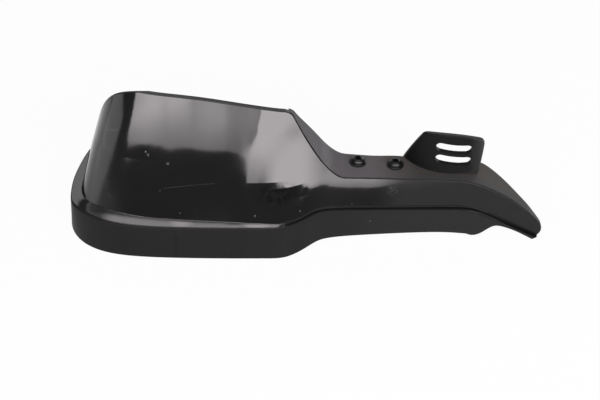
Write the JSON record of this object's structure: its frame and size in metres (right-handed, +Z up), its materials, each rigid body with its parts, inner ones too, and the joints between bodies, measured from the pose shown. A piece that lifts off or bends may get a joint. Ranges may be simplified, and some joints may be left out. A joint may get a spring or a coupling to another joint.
{
  "type": "motorcycle hand guard",
  "caption": "Moulded hand guard for a motorcycle handlebar: leaning shield panel over a skirt band, an eye for the bar end, and a bent arm with screws and a slotted tab.",
  "frame": {"origin": "centre of the bar-end eye's bore", "axes": "+X inboard along the handlebar, from the eye to the slotted tab; +Y back towards the rider; +Z up"},
  "size_m": [0.3211, 0.1366, 0.102],
  "materials": {
    "moulding": "black moulded plastic, glossy on the panel, finely textured on the skirt band and flange",
    "stay": "black painted steel",
    "screw": "blackened steel",
    "nut": "zinc-plated steel"
  },
  "bodies": {
    "root": {"guard_shell": "moulding", "stay_plate": "stay", "flange_screw_outer": "screw", "flange_screw_inner": "screw", "flange_nut_outer": "nut", "flange_nut_inner": "nut"}
  },
  "joints": []
}
